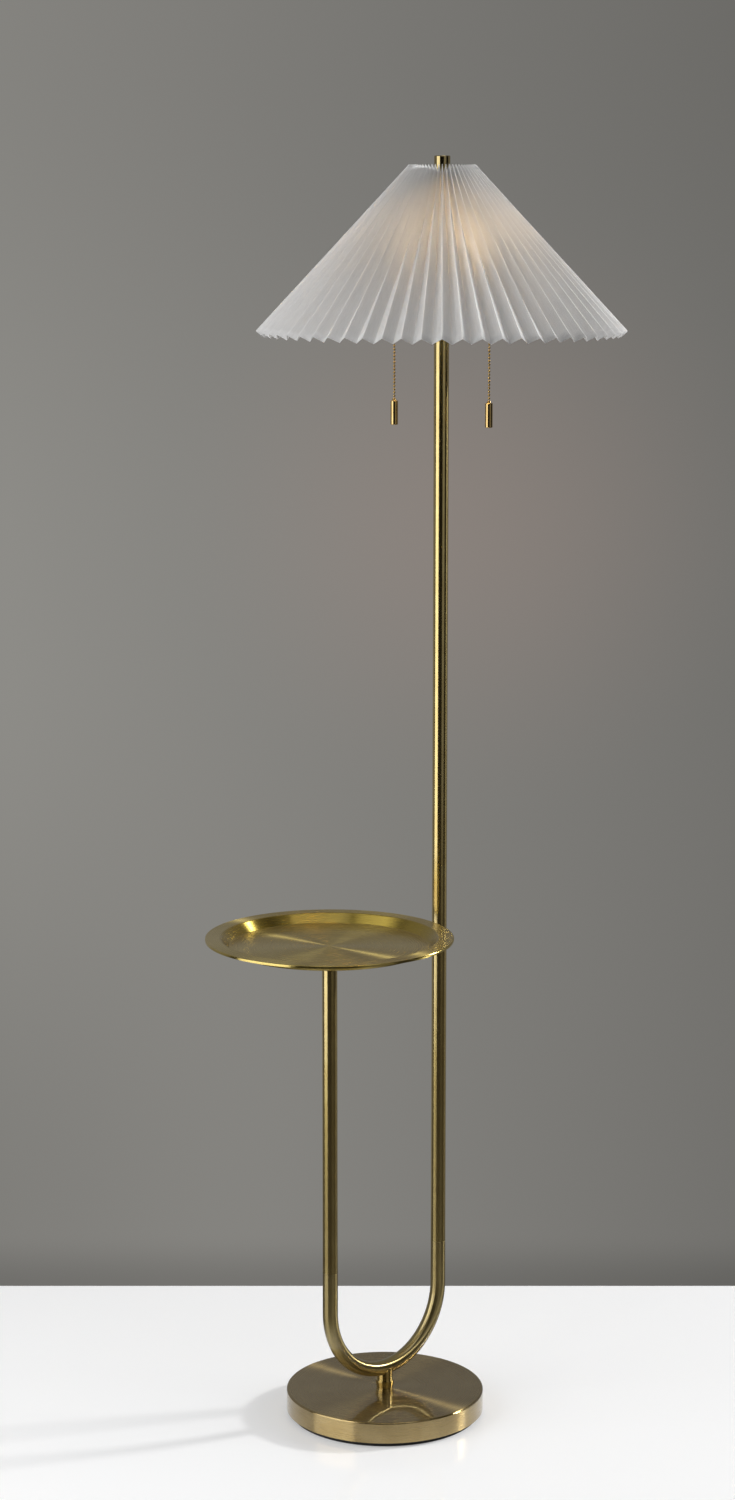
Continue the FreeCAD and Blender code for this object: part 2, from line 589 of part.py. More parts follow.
def make_pull(name, side):
    inner = HOOD_R - HOOD_WALL
    hood = hood_plan(HOOD_R, HOOD_FOOT, HOOD_TOP)
    hood = hood.fuse(hood_plan(HOOD_LIP_R, HOOD_FOOT, HOOD_FOOT + HOOD_LIP_H)).removeSplitter()
    hood = hood.cut(hood_plan(inner, HOOD_FOOT, HOOD_TOP - HOOD_WALL))
    hood = hood.cut(rod(SOCKET_R, HOOD_FOOT, HOOD_TOP, SOCKET_AT))
    save(name + "_chain_hood", at_side(hood, side))

    tab_end = CHAIN_AT + LEVER_TAB_L / 2
    tab_start = CHAIN_AT - LEVER_TAB_L / 2
    half = LEVER_T / 2
    low = LEVER_Z - LEVER_H / 2
    lever = block((SOCKET_AT, -half, low), (tab_start, half, LEVER_Z + LEVER_H / 2))
    pivot = FreeCAD.Vector(SOCKET_AT, -half, LEVER_Z)
    lever = lever.fuse(Part.makeCylinder(LEVER_H / 2, LEVER_T, pivot, Y_AXIS))
    pin = Part.makeCylinder(LEVER_PIN_R, LEVER_PIN_L,
                            FreeCAD.Vector(SOCKET_AT, -LEVER_PIN_L / 2, LEVER_Z), Y_AXIS)
    tab = block((tab_start - LEVER_T, -BEAD_R, LEVER_Z - LEVER_TAB_T / 2),
                (tab_end, BEAD_R, LEVER_Z + LEVER_TAB_T / 2))
    gap = BEAD_WIRE_R + BEAD_PLAY
    keyway = block((CHAIN_AT - BEAD_R, -gap, low), (tab_end, gap, LEVER_Z + LEVER_H))
    lever = lever.fuse([pin, tab]).cut(keyway).removeSplitter()
    save(name + "_pull_lever", at_side(lever, side))

    link = rod(BEAD_WIRE_R, SWING_Z, CHAIN_HEAD, CHAIN_AT)
    ends = [Part.makeSphere(BEAD_R, FreeCAD.Vector(CHAIN_AT, 0, z)) for z in (SWING_Z, CHAIN_HEAD)]
    save(name + "_chain_link", at_side(link.fuse(ends).removeSplitter(), side))

    wire = rod(BEAD_WIRE_R, LAST_BEAD, SWING_Z - BEAD_R - BEAD_PLAY, CHAIN_AT)
    beads = []
    for i in range(1, BEAD_COUNT + 1):
        beads.append(Part.makeSphere(BEAD_R, FreeCAD.Vector(CHAIN_AT, 0, SWING_Z - i * BEAD_PITCH)))
    save(name + "_chain", at_side(wire.fuse(beads).removeSplitter(), side))

    foot = FOB_TOP - FOB_L
    neck_top = FOB_TOP + FOB_NECK_H
    hole_r = BEAD_R + BEAD_PLAY
    fob = turned([(0, foot), (FOB_R - FOB_EDGE, foot), (FOB_R, foot + FOB_EDGE), (FOB_R, FOB_TOP - FOB_EDGE),
                  (FOB_R - FOB_EDGE, FOB_TOP), (FOB_NECK_R, FOB_TOP), (hole_r + FOB_EDGE / 2, neck_top),
                  (0, neck_top)], CHAIN_AT)
    fob = fob.cut(rod(hole_r, FOB_TOP, neck_top, CHAIN_AT))
    save(name + "_fob", at_side(fob, side))


# ---- Shade ------------------------------------------------------------------------------------
def fold_line(radius, height, kind, inset=0.0):
    """Radius and height of a fold where the ridges have the given radius and height."""
    depth = fold_depth(radius, kind, inset)
    return radius - depth * RIDGE_FALL / RIDGE_SLANT, height - depth * RIDGE_RUN / RIDGE_SLANT


def fold_radius(height, kind, inset):
    """Radius of a fold at one height, measured along its straight line."""
    top_r, top_z = fold_line(RIDGE_TOP_R, RIDGE_TOP_Z, kind, inset)
    foot_r, foot_z = fold_line(RIDGE_FOOT_R, RIDGE_FOOT_Z, kind, inset)
    return top_r + (foot_r - top_r) * (top_z - height) / (top_z - foot_z)


def make_pleats():
    ends = ((RIDGE_TOP_R, RIDGE_TOP_Z), (RIDGE_FOOT_R, RIDGE_FOOT_Z))

    def corner(i, end, inset):
        kind = "valley" if i % 2 else "ridge"
        radius, height = fold_line(*ends[end], kind, inset)
        turn = math.radians(RIDGE_AZ) + i * FOLD_STEP
        return FreeCAD.Vector(POLE_X + radius * math.cos(turn), radius * math.sin(turn), height)

    faces = []

    def patch(a, b, c, d):
        """Two triangles over four corners. Both neighbours of an edge share it."""
        for three in ((a, b, c), (a, c, d)):
            faces.append(Part.Face(Part.makePolygon(list(three) + [three[0]])))

    for i in range(2 * PLEATS):
        j = (i + 1) % (2 * PLEATS)
        top_out, next_top_out = corner(i, 0, 0), corner(j, 0, 0)
        foot_out, next_foot_out = corner(i, 1, 0), corner(j, 1, 0)
        top_in, next_top_in = corner(i, 0, PLEAT_SHEET), corner(j, 0, PLEAT_SHEET)
        foot_in, next_foot_in = corner(i, 1, PLEAT_SHEET), corner(j, 1, PLEAT_SHEET)
        patch(top_out, foot_out, next_foot_out, next_top_out)
        patch(top_in, next_top_in, next_foot_in, foot_in)
        patch(top_out, next_top_out, next_top_in, top_in)
        patch(foot_out, foot_in, next_foot_in, next_foot_out)
    shell = Part.Shell(faces)
    shell.sewShape()
    solid = Part.Solid(shell)
    if solid.Volume < 0:
        solid.reverse()
    save("shade_pleats", solid)


def ring_radius(height):
    """Centre radius of a wire ring that lies just inside the inner folds."""
    off = (RING_WIRE_R + RING_GAP) * RIDGE_SLANT / RIDGE_FALL
    return fold_radius(height, "valley", PLEAT_SHEET) - off


def wire_ring(height):
    return Part.makeTorus(ring_radius(height), RING_WIRE_R, FreeCAD.Vector(POLE_X, 0, height), Z_AXIS)


def make_shade():
    make_pleats()
    foot_z = fold_line(RIDGE_FOOT_R, RIDGE_FOOT_Z, "valley", PLEAT_SHEET)[1]
    save("shade_foot_ring", wire_ring(foot_z + FOOT_RING_RISE))

    hub = rod(SPIDER_HUB_R, HUB_FOOT, HUB_TOP, POLE_X)
    arms = []
    for i in range(SPIDER_ARMS):
        turn = 2 * math.pi * i / SPIDER_ARMS
        out = FreeCAD.Vector(math.cos(turn), math.sin(turn), 0)
        start = FreeCAD.Vector(POLE_X, 0, TOP_RING_Z) + out * (SPIDER_HUB_R - RING_WIRE_R)
        reach = ring_radius(TOP_RING_Z) - SPIDER_HUB_R + RING_WIRE_R
        arms.append(Part.makeCylinder(SPIDER_ARM_R, reach, start, out))
    spider = hub.fuse(arms + [wire_ring(TOP_RING_Z)])
    spider = spider.cut(rod(RISER_R + RUN_FIT, HUB_FOOT, HUB_TOP, POLE_X))
    save("shade_spider", spider.removeSplitter())

    seat_top = HUB_FOOT - HUB_PLAY
    save("spider_seat_nut", nut(SEAT_NUT_ACROSS, RISER_R, seat_top - SEAT_NUT_H, seat_top, POLE_X))

    finial = rod(FINIAL_R, FINIAL_FOOT, FINIAL_TOP, POLE_X)
    rim = [e for e in finial.Edges if e.Closed and abs(e.CenterOfMass.z - FINIAL_TOP) < SAME]
    finial = finial.makeChamfer(FINIAL_EDGE, rim)
    finial = finial.cut(rod(RISER_R + RUN_FIT, FINIAL_FOOT, RISER_TOP + HUB_PLAY, POLE_X))
    save("finial", finial)


# ---- Everything -------------------------------------------------------------------------------
os.makedirs("parts", exist_ok=True)
make_base()
make_stem_and_tubes()
make_tray()
make_cluster()
make_socket("left", -1)
make_socket("right", 1)
make_shade()
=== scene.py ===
import math
import random

import bmesh
import bpy
from mathutils import Matrix, Vector


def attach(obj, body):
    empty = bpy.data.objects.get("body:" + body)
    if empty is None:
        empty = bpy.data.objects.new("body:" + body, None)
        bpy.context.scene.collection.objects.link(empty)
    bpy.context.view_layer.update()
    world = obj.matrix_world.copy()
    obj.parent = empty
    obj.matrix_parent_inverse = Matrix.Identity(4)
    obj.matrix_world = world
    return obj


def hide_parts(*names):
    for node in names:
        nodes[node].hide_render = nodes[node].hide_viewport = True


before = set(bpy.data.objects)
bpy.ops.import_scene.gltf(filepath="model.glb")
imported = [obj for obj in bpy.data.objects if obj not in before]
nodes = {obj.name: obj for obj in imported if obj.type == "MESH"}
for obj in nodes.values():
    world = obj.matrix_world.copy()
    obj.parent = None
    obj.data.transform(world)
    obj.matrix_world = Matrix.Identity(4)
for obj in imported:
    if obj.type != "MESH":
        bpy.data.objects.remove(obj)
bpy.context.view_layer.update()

# ---- Sizes of the lamp, in metres --------------------------------------------------------------
# The pole and the tray's post stand on the two ends of the U, a bend's radius from the middle.
BEND_R = 0.093
BEND_Z = 0.1517
POLE_X = BEND_R
POST_X = -BEND_R
TRAY_FLOOR_R = 0.123
TRAY_WELL_R = 0.1345
CLUSTER_AZ = math.radians(-66.6)
SOCKET_AT = 0.038
CHAIN_AT = 0.063
BULB_MID_Z = 1.4801

# A ridge of the shade runs from its top to its foot, each given as radius and height.
PLEATS = 60
PLEAT_WIDTH = 0.0153
RIDGE_TOP = (0.0405, 1.5658)
RIDGE_FOOT = (0.2274, 1.3655)
RIDGE_AZ = math.radians(226.3)
RIDGE_RUN = RIDGE_FOOT[0] - RIDGE_TOP[0]
RIDGE_FALL = RIDGE_TOP[1] - RIDGE_FOOT[1]
RIDGE_SLANT = math.hypot(RIDGE_RUN, RIDGE_FALL)
CLOTH_THICK = 0.0004

BASE_AXIS = (0, 0, 0)
BEND_AXIS = (0, 0, BEND_Z)
POLE_AXIS = (POLE_X, 0, 0)
POST_AXIS = (POST_X, 0, 0)

# ---- The photograph's camera: angles in radians, its place in metres, its lens in millimetres ---
LOOK_TURN = 0.743
LOOK_TILT = 0.173
CAMERA_AT = (-2.6492, -2.8513, 1.536)
LENS = 77.04
SENSOR = 36.0


def look_dir(turn):
    """A level direction: 0 points from the lamp to the camera, and +90 degrees to the camera's right."""
    towards = Vector((-math.sin(LOOK_TURN), -math.cos(LOOK_TURN), 0))
    right = Vector((math.cos(LOOK_TURN), -math.sin(LOOK_TURN), 0))
    a = math.radians(turn)
    return towards * math.cos(a) + right * math.sin(a)


def upright(height):
    return Vector((0, 0, height))


def beside_pole(side, reach):
    """A place beside the pole, on the line of the two sockets: side is -1 for left and 1 for right."""
    return (POLE_X + side * reach * math.cos(CLUSTER_AZ), side * reach * math.sin(CLUSTER_AZ), 0)


# ---- Objects -----------------------------------------------------------------------------------
def new_object(name, data):
    thing = bpy.data.objects.new(name, data)
    bpy.context.collection.objects.link(thing)
    return thing


def new_sheet(name, bm):
    """An object from a finished bmesh, which is freed."""
    mesh = bpy.data.meshes.new(name)
    bm.to_mesh(mesh)
    bm.free()
    return new_object(name, mesh)


# ---- Node helpers ------------------------------------------------------------------------------
# The mix node has its own sockets for each kind of data, and these are the ones for colours.
MIX_SHARE, MIX_FIRST, MIX_SECOND, MIX_RESULT = 0, 6, 7, 2
MAP_SOCKETS = ("Value", "From Min", "From Max", "To Min", "To Max")
PLAIN_NUMBER_KINDS = ("LENGTH", "DOT_PRODUCT", "DISTANCE")


def link(tree, source, target):
    tree.links.new(source, target)


def put(tree, target, value):
    """Links a socket, or sets a plain value."""
    if isinstance(value, bpy.types.NodeSocket):
        link(tree, value, target)
    else:
        target.default_value = value


def maths(tree, kind, *values):
    node = tree.nodes.new("ShaderNodeMath")
    node.operation = kind
    for socket, value in zip(node.inputs, values):
        put(tree, socket, value)
    return node.outputs[0]


def product(tree, first, *others):
    """All the values multiplied, from left to right."""
    for value in others:
        first = maths(tree, "MULTIPLY", first, value)
    return first


def vector_maths(tree, kind, *values):
    node = tree.nodes.new("ShaderNodeVectorMath")
    node.operation = kind
    for socket, value in zip(node.inputs, values):
        put(tree, socket, value)
    return node.outputs["Value"] if kind in PLAIN_NUMBER_KINDS else node.outputs[0]


def scaled(tree, vector, factor):
    node = tree.nodes.new("ShaderNodeVectorMath")
    node.operation = "SCALE"
    node.inputs[0].default_value = vector
    link(tree, factor, node.inputs["Scale"])
    return node.outputs[0]


def noise(tree, place, scale, detail=2.0, rough=0.5):
    node = tree.nodes.new("ShaderNodeTexNoise")
    put(tree, node.inputs["Vector"], place)
    node.inputs["Scale"].default_value = scale
    node.inputs["Detail"].default_value = detail
    node.inputs["Roughness"].default_value = rough
    return node.outputs[0]


def spread(tree, value, low, high, to_low=0.0, to_high=1.0, smooth=False):
    """Maps a range of values to another, without going past its ends."""
    node = tree.nodes.new("ShaderNodeMapRange")
    node.interpolation_type = "SMOOTHSTEP" if smooth else "LINEAR"
    for name, amount in zip(MAP_SOCKETS, (value, low, high, to_low, to_high)):
        put(tree, node.inputs[name], amount)
    return node.outputs[0]


def mixed(tree, share, first, second):
    node = tree.nodes.new("ShaderNodeMix")
    node.data_type = "RGBA"
    put(tree, node.inputs[MIX_SHARE], share)
    put(tree, node.inputs[MIX_FIRST], first)
    put(tree, node.inputs[MIX_SECOND], second)
    return node.outputs[MIX_RESULT]


def split(tree, vector):
    node = tree.nodes.new("ShaderNodeSeparateXYZ")
    put(tree, node.inputs[0], vector)
    return node.outputs


def joined(tree, x, y, z):
    node = tree.nodes.new("ShaderNodeCombineXYZ")
    for socket, value in zip(node.inputs, (x, y, z)):
        put(tree, socket, value)
    return node.outputs[0]


def place_on(tree):
    """A point's place in metres, in the lamp's own frame at rest."""
    return tree.nodes.new("ShaderNodeTexCoord").outputs["Object"]


def facing_of(tree):
    return tree.nodes.new("ShaderNodeNewGeometry").outputs["Normal"]


def new_group(name, inputs, outputs):
    """A shader node group with named sockets. inputs: (name, kind, default); outputs: (name, kind)."""
    tree = bpy.data.node_groups.new(name, "ShaderNodeTree")
    for label, kind, value in inputs:
        socket = tree.interface.new_socket(label, in_out="INPUT", socket_type="NodeSocket" + kind)
        socket.default_value = value
    for label, kind in outputs:
        tree.interface.new_socket(label, in_out="OUTPUT", socket_type="NodeSocket" + kind)
    return tree, tree.nodes.new("NodeGroupInput").outputs, tree.nodes.new("NodeGroupOutput").inputs


def use(tree, group, **values):
    node = tree.nodes.new("ShaderNodeGroup")
    node.node_tree = group
    for label, value in values.items():
        put(tree, node.inputs[label.replace("_", " ")], value)
    return node.outputs


# ---- Effects that several finishes share -------------------------------------------------------
BLOTCHES_PER_METRE = 38.0
DUST_PER_METRE = 900.0
DUST_SLOPES = (0.6, 1.0)
DUST_SPECKS = (0.45, 0.7)
WORN_CORNER = 0.80
UNWORN_FACE = 0.995


def make_turned_lines():
    """Fine lines left by turning or spinning a piece about an upright axis, and by brushing it there."""
    inputs = (("Axis", "Vector", (0, 0, 0)), ("Lines per metre", "Float", 2500.0),
              ("Wander per metre", "Float", 12.0))
    tree, given, out = new_group("turned lines", inputs, (("Lines", "Float"), ("Blotches", "Float")))
    place = place_on(tree)
    x, y, z = split(tree, vector_maths(tree, "SUBTRACT", place, given["Axis"]))
    square = maths(tree, "ADD", product(tree, x, x), product(tree, y, y))
    outward = maths(tree, "ADD", maths(tree, "SQRT", square), z)
    wander = given["Wander per metre"]
    around = joined(tree, product(tree, x, wander), product(tree, y, wander),
                    product(tree, outward, given["Lines per metre"]))
    link(tree, noise(tree, around, 1.0, detail=3.0, rough=0.7), out["Lines"])
    link(tree, noise(tree, place, BLOTCHES_PER_METRE, detail=3.0, rough=0.6), out["Blotches"])
    return tree


def make_edge_wear():
    """Where a sharp edge has lost its finish: the amount on the edge, 0 elsewhere."""
    inputs = (("Reach", "Float", 0.0008), ("Amount", "Float", 1.0))
    tree, given, out = new_group("edge wear", inputs, (("Wear", "Float"), ("Soft edge", "Vector")))
    round_edge = tree.nodes.new("ShaderNodeBevel")
    round_edge.samples = 4
    link(tree, given["Reach"], round_edge.inputs["Radius"])
    same = vector_maths(tree, "DOT_PRODUCT", round_edge.outputs[0], facing_of(tree))
    wear = spread(tree, same, WORN_CORNER, UNWORN_FACE, 1.0, 0.0)
    link(tree, product(tree, wear, given["Amount"]), out["Wear"])
    link(tree, round_edge.outputs[0], out["Soft edge"])
    return tree


def make_dust():
    """Thin dust that settles on faces that look up."""
    tree, given, out = new_group("settled dust", (("Amount", "Float", 0.1),), (("Dust", "Float"),))
    up = spread(tree, split(tree, facing_of(tree))[2], *DUST_SLOPES)
    grain = spread(tree, noise(tree, place_on(tree), DUST_PER_METRE), *DUST_SPECKS)
    link(tree, product(tree, up, grain, given["Amount"]), out["Dust"])
    return tree


TURNED_LINES = make_turned_lines()
EDGE_WEAR = make_edge_wear()
DUST = make_dust()


# ---- Materials ---------------------------------------------------------------------------------
# Noise lies mostly between these values, so finishes spread it from there, and tones a bit further.
NOISE_LOW, NOISE_HIGH = 0.3, 0.7
BLOTCH_LOW, BLOTCH_HIGH = 0.35, 0.65
BLOTCH_TO_GRAIN = 12
LINES_DEEPEN = 0.25
QUARTER_TURN = 0.25
LACQUER_IOR = 1.5

# Each brass has a light and a deep tone, which the blotches and lines of the metal mix.
BRASS = ((0.57, 0.452, 0.18, 1), (0.49, 0.37, 0.13, 1))
SPUN = ((0.45, 0.335, 0.14, 1), (0.38, 0.27, 0.10, 1))
DISHED = ((0.66, 0.52, 0.17, 1), (0.58, 0.44, 0.12, 1))
SATIN = ((0.45, 0.36, 0.15, 1), (0.39, 0.30, 0.12, 1))
POLISHED = ((0.58, 0.41, 0.15, 1), (0.48, 0.32, 0.10, 1))
BRASS_WORN = (0.66, 0.56, 0.30, 1)
# Painted shade and reflection: the tray's sloping inner wall is painted this deeper, more saturated
# brass.
WELL_PAINTED_SHADE_TONE = (0.50, 0.37, 0.07, 1)
WELL_EDGE = 0.0006
DUST_TONE = (0.6, 0.58, 0.55, 1)


def new_material(name, **plain):
    """A material with a Principled surface. Plain values are set on the surface's own sockets."""
    mat = bpy.data.materials.new(name)
    mat.use_nodes = True
    tree = mat.node_tree
    surface = tree.nodes["Principled BSDF"].inputs
    for label, value in plain.items():
        surface[label.replace("_", " ")].default_value = value
    return mat, tree, surface


def bump(tree, height, depth, surface, normal=None):
    node = tree.nodes.new("ShaderNodeBump")
    node.inputs["Distance"].default_value = depth
    link(tree, height, node.inputs["Height"])
    if normal is not None:
        link(tree, normal, node.inputs["Normal"])
    link(tree, node.outputs[0], surface["Normal"])


def ring_mask(tree, axis, inner, outer):
    """1 between two radii from an upright axis, 0 elsewhere."""
    off = vector_maths(tree, "SUBTRACT", place_on(tree), axis)
    radius = vector_maths(tree, "LENGTH", vector_maths(tree, "MULTIPLY", off, (1, 1, 0)))
    inside = spread(tree, radius, inner - WELL_EDGE, inner)
    outside = spread(tree, radius, outer, outer + WELL_EDGE, 1.0, 0.0)
    return product(tree, inside, outside)


def brass(name, axis, tones=BRASS, lines=2500.0, rough=(0.22, 0.24), anisotropic=0.8, wear=0.3,
          coat=1.0, coat_rough=0.12, painted_shade_ring=None, radial=True):
    """Brushed brass under lacquer. The brushing runs round the axis, so its gloss spreads across it."""
    light, deep = tones
    mat, tree, surface = new_material(name, Metallic=1.0, Anisotropic=anisotropic,
                                      Anisotropic_Rotation=QUARTER_TURN, Coat_Weight=coat,
                                      Coat_Roughness=coat_rough, Coat_IOR=LACQUER_IOR)
    marks = use(tree, TURNED_LINES, Axis=axis, Lines_per_metre=lines)
    tone = mixed(tree, spread(tree, marks["Blotches"], BLOTCH_LOW, BLOTCH_HIGH), light, deep)
    if wear:
        tone = mixed(tree, use(tree, EDGE_WEAR, Amount=wear)["Wear"], tone, BRASS_WORN)
    # Painted shade and reflection: the ring between two radii is painted the deeper brass tone.
    if painted_shade_ring:
        tone = mixed(tree, ring_mask(tree, axis, *painted_shade_ring), tone, WELL_PAINTED_SHADE_TONE)
    deepened = spread(tree, marks["Lines"], BLOTCH_LOW, BLOTCH_HIGH, 0.0, LINES_DEEPEN)
    tone = mixed(tree, deepened, tone, deep)
    link(tree, tone, surface["Base Color"])
    link(tree, spread(tree, marks["Lines"], NOISE_LOW, NOISE_HIGH, *rough), surface["Roughness"])
    if radial:
        along = tree.nodes.new("ShaderNodeTangent")
        along.direction_type = "RADIAL"
        along.axis = "Z"
        link(tree, along.outputs[0], surface["Tangent"])
    return mat


def make_u_brass():
    """The U's brass. It is brushed round the tube, also where the tube bends."""
    mat = brass("satin brass of the U", BEND_AXIS, tones=SATIN, rough=(0.28, 0.32), anisotropic=0.92,
                radial=False)
    tree = mat.node_tree
    surface = tree.nodes["Principled BSDF"].inputs
    off = split(tree, vector_maths(tree, "SUBTRACT", place_on(tree), BEND_AXIS))
    low = maths(tree, "MINIMUM", off[2], 0.0)
    run = joined(tree, low, 0.0, product(tree, off[0], -1.0))
    around = vector_maths(tree, "CROSS_PRODUCT", run, facing_of(tree))
    link(tree, vector_maths(tree, "NORMALIZE", around), surface["Tangent"])
    return mat


def plain_finish(name, colour, deep, rough, metallic=0.0, scale=400.0, depth=0.00002, **plain):
    """A moulded, plated, painted or pressed finish with its own grain and a little dust."""
    mat, tree, surface = new_material(name, Metallic=metallic, **plain)
    place = place_on(tree)
    grain = noise(tree, place, scale, detail=4.0, rough=0.6)
    blotches = noise(tree, place, scale / BLOTCH_TO_GRAIN, detail=3.0)
    tone = mixed(tree, spread(tree, blotches, BLOTCH_LOW, BLOTCH_HIGH), colour, deep)
    edges = use(tree, EDGE_WEAR, Amount=0.4)
    tone = mixed(tree, edges["Wear"], tone, colour)
    tone = mixed(tree, use(tree, DUST, Amount=0.25)["Dust"], tone, DUST_TONE)
    link(tree, tone, surface["Base Color"])
    link(tree, spread(tree, grain, NOISE_LOW, NOISE_HIGH, *rough), surface["Roughness"])
    bump(tree, grain, depth, surface, edges["Soft edge"])
    return mat


# The cloth's threads are this wide across and along a face, and its slubs lie along the face.
WARP = 0.0006
WEFT = 0.0007
SLUBS_ACROSS = 900.0
SLUBS_ALONG = 60.0
CLOTH_OPEN = (0.78, 0.775, 0.77, 1)
CLOTH_DENSE = (0.86, 0.86, 0.86, 1)
# Painted light: the cloth is painted paler over a reach from the top of the shade.
CLOTH_PAINTED_LIGHT_TOP = (0.97, 0.97, 0.97, 1)
# Creases are painted paler: partly the pressed fold's own tone, partly a painted highlight along the
# folds.
CLOTH_CREASE_TONE_AND_HIGHLIGHT = (0.97, 0.97, 0.96, 1)
CLOTH_LIT = (0.93, 0.9, 0.86, 1)
PAINTED_LIGHT_TOP_REACH = 0.14
PAINTED_LIGHT_TOP_SHARE = 0.9
CLOTH_DEPTH = 0.00003
CLOTH_LETS_THROUGH = 0.15


def make_cloth():
    """White pleated cloth the bulbs shine through. Creases partly painted highlight; painted light near
    the top.
    """
    mat, tree, surface = new_material("pleated cloth", Transmission_Weight=0.2, IOR=1.15)
    fold = tree.nodes.new("ShaderNodeAttribute")
    fold.attribute_name = "fold"
    weave = tree.nodes.new("ShaderNodeUVMap")
    weave.uv_map = "cloth"
    across, along, _ = split(tree, weave.outputs[0])
    warp = maths(tree, "SINE", product(tree, across, 2 * math.pi / WARP))
    weft = maths(tree, "SINE", product(tree, along, 2 * math.pi / WEFT))
    threads = product(tree, warp, weft)
    strip = joined(tree, product(tree, across, SLUBS_ACROSS), product(tree, along, SLUBS_ALONG), 0.0)
    slubs = noise(tree, strip, 1.0, detail=3.0)
    tone = mixed(tree, spread(tree, slubs, NOISE_LOW, NOISE_HIGH), CLOTH_OPEN, CLOTH_DENSE)
    # Painted light near the top of the shade.
    painted_light_top = spread(tree, along, 0.0, PAINTED_LIGHT_TOP_REACH, PAINTED_LIGHT_TOP_SHARE, 0.0)
    tone = mixed(tree, painted_light_top, tone, CLOTH_PAINTED_LIGHT_TOP)
    # Paler creases: partly the fold's own tone, partly painted highlight.
    tone = mixed(tree, fold.outputs["Fac"], tone, CLOTH_CREASE_TONE_AND_HIGHLIGHT)
    link(tree, tone, surface["Base Color"])
    link(tree, spread(tree, slubs, NOISE_LOW, NOISE_HIGH, 0.76, 0.82), surface["Roughness"])
    height = maths(tree, "ADD", product(tree, threads, 0.5), slubs)
    bump(tree, height, CLOTH_DEPTH, surface)
    through = tree.nodes.new("ShaderNodeBsdfTranslucent")
    through.inputs["Color"].default_value = CLOTH_LIT
    mix = tree.nodes.new("ShaderNodeMixShader")
    mix.inputs[0].default_value = CLOTH_LETS_THROUGH
    link(tree, tree.nodes["Principled BSDF"].outputs[0], mix.inputs[1])
    link(tree, through.outputs[0], mix.inputs[2])
    link(tree, mix.outputs[0], tree.nodes["Material Output"].inputs["Surface"])
    return mat


# The filament's light shows on the glass, most of all a little below the bulb's middle.
BULB_LEVEL = {-1: 11.0, 1: 19.0}
GLOW_Z = BULB_MID_Z - 0.03
GLOW_REACH = 0.06
GLOW_AT_ENDS = 0.4
GLOW_TONE = (1.0, 0.68, 0.34)
FROST_PER_METRE = 700.0
FROST_DEEP = (0.8, 0.76, 0.7, 1)
FROST_LIGHT = (0.95, 0.93, 0.9, 1)


def make_bulb_glass(name, level):
    """Glass frosted inside, with the light of the bulb in it."""
    mat, tree, surface = new_material(name, Roughness=0.35, IOR=1.5, Emission_Strength=1.0)
    place = place_on(tree)
    away = maths(tree, "ABSOLUTE", maths(tree, "SUBTRACT", split(tree, place)[2], GLOW_Z))
    lit = spread(tree, away, 0.0, GLOW_REACH, 1.0, GLOW_AT_ENDS, smooth=True)
    grain = spread(tree, noise(tree, place, FROST_PER_METRE), NOISE_LOW, NOISE_HIGH, 0.94, 1.0)
    link(tree, scaled(tree, GLOW_TONE, product(tree, lit, grain, level)), surface["Emission Color"])
    link(tree, mixed(tree, grain, FROST_DEEP, FROST_LIGHT), surface["Base Color"])
    return mat


def make_brass_finishes():
    return {
        "base_cover": brass("spun brass of the base", BASE_AXIS, tones=SPUN, lines=1800.0,
                            rough=(0.24, 0.29), anisotropic=1.0, coat_rough=0.06),
        "stem_collar": brass("turned brass of the stem", BASE_AXIS),
        "u_tube": make_u_brass(),
        "lower_pole": brass("brushed brass of the pole", POLE_AXIS),
        "tray_post": brass("brushed brass of the tray post", POST_AXIS),
        # The tray's well between these two radii carries the painted shade and reflection.
        "tray": brass("spun brass of the tray", POST_AXIS, tones=DISHED, lines=1500.0,
                      rough=(0.24, 0.29), anisotropic=1.0, coat=0.3, painted_shade_ring=(TRAY_FLOOR_R, TRAY_WELL_R)),
        "finial": brass("polished brass of the finial", POLE_AXIS, tones=SATIN, rough=(0.1, 0.15),
                        anisotropic=0.5, wear=0),
    }


def make_plain_finishes():
    """The finishes that aren't brass, each with its light tone, its deep tone and its roughness."""
    return {
        "base_pad": plain_finish("black foam pad", (0.012, 0.012, 0.013, 1), (0.02, 0.019, 0.018, 1),
                                 (0.7, 0.95), scale=1500.0, depth=0.0002),
        "base_weight": plain_finish("painted cast iron", (0.02, 0.02, 0.021, 1),
                                    (0.035, 0.034, 0.033, 1), (0.5, 0.75), scale=700.0, depth=0.00015),
        "cord_grommet": plain_finish("moulded gland", (0.03, 0.026, 0.022, 1),
                                     (0.045, 0.04, 0.034, 1), (0.4, 0.6)),
        "supply_lead": plain_finish("lead sleeve", (0.02, 0.02, 0.02, 1), (0.035, 0.034, 0.033, 1),
                                    (0.35, 0.5)),
        "shade_spider": plain_finish("white enamelled wire", (0.8, 0.8, 0.78, 1),
                                     (0.72, 0.71, 0.69, 1), (0.2, 0.35), Coat_Weight=0.4),
        "steel": plain_finish("plated steel", (0.62, 0.61, 0.58, 1), (0.5, 0.5, 0.48, 1),
                              (0.25, 0.45), metallic=1.0),
        "card": plain_finish("pressed card liner", (0.42, 0.3, 0.18, 1), (0.34, 0.24, 0.14, 1),
                             (0.75, 0.9), scale=900.0, depth=0.00008),
        "switch": plain_finish("black moulded switch", (0.02, 0.02, 0.02, 1), (0.03, 0.03, 0.03, 1),
                               (0.3, 0.5)),
        "bulb_cap": plain_finish("bright bulb cap", (0.8, 0.8, 0.8, 1), (0.68, 0.68, 0.68, 1),
                                 (0.2, 0.35), metallic=1.0),
    }


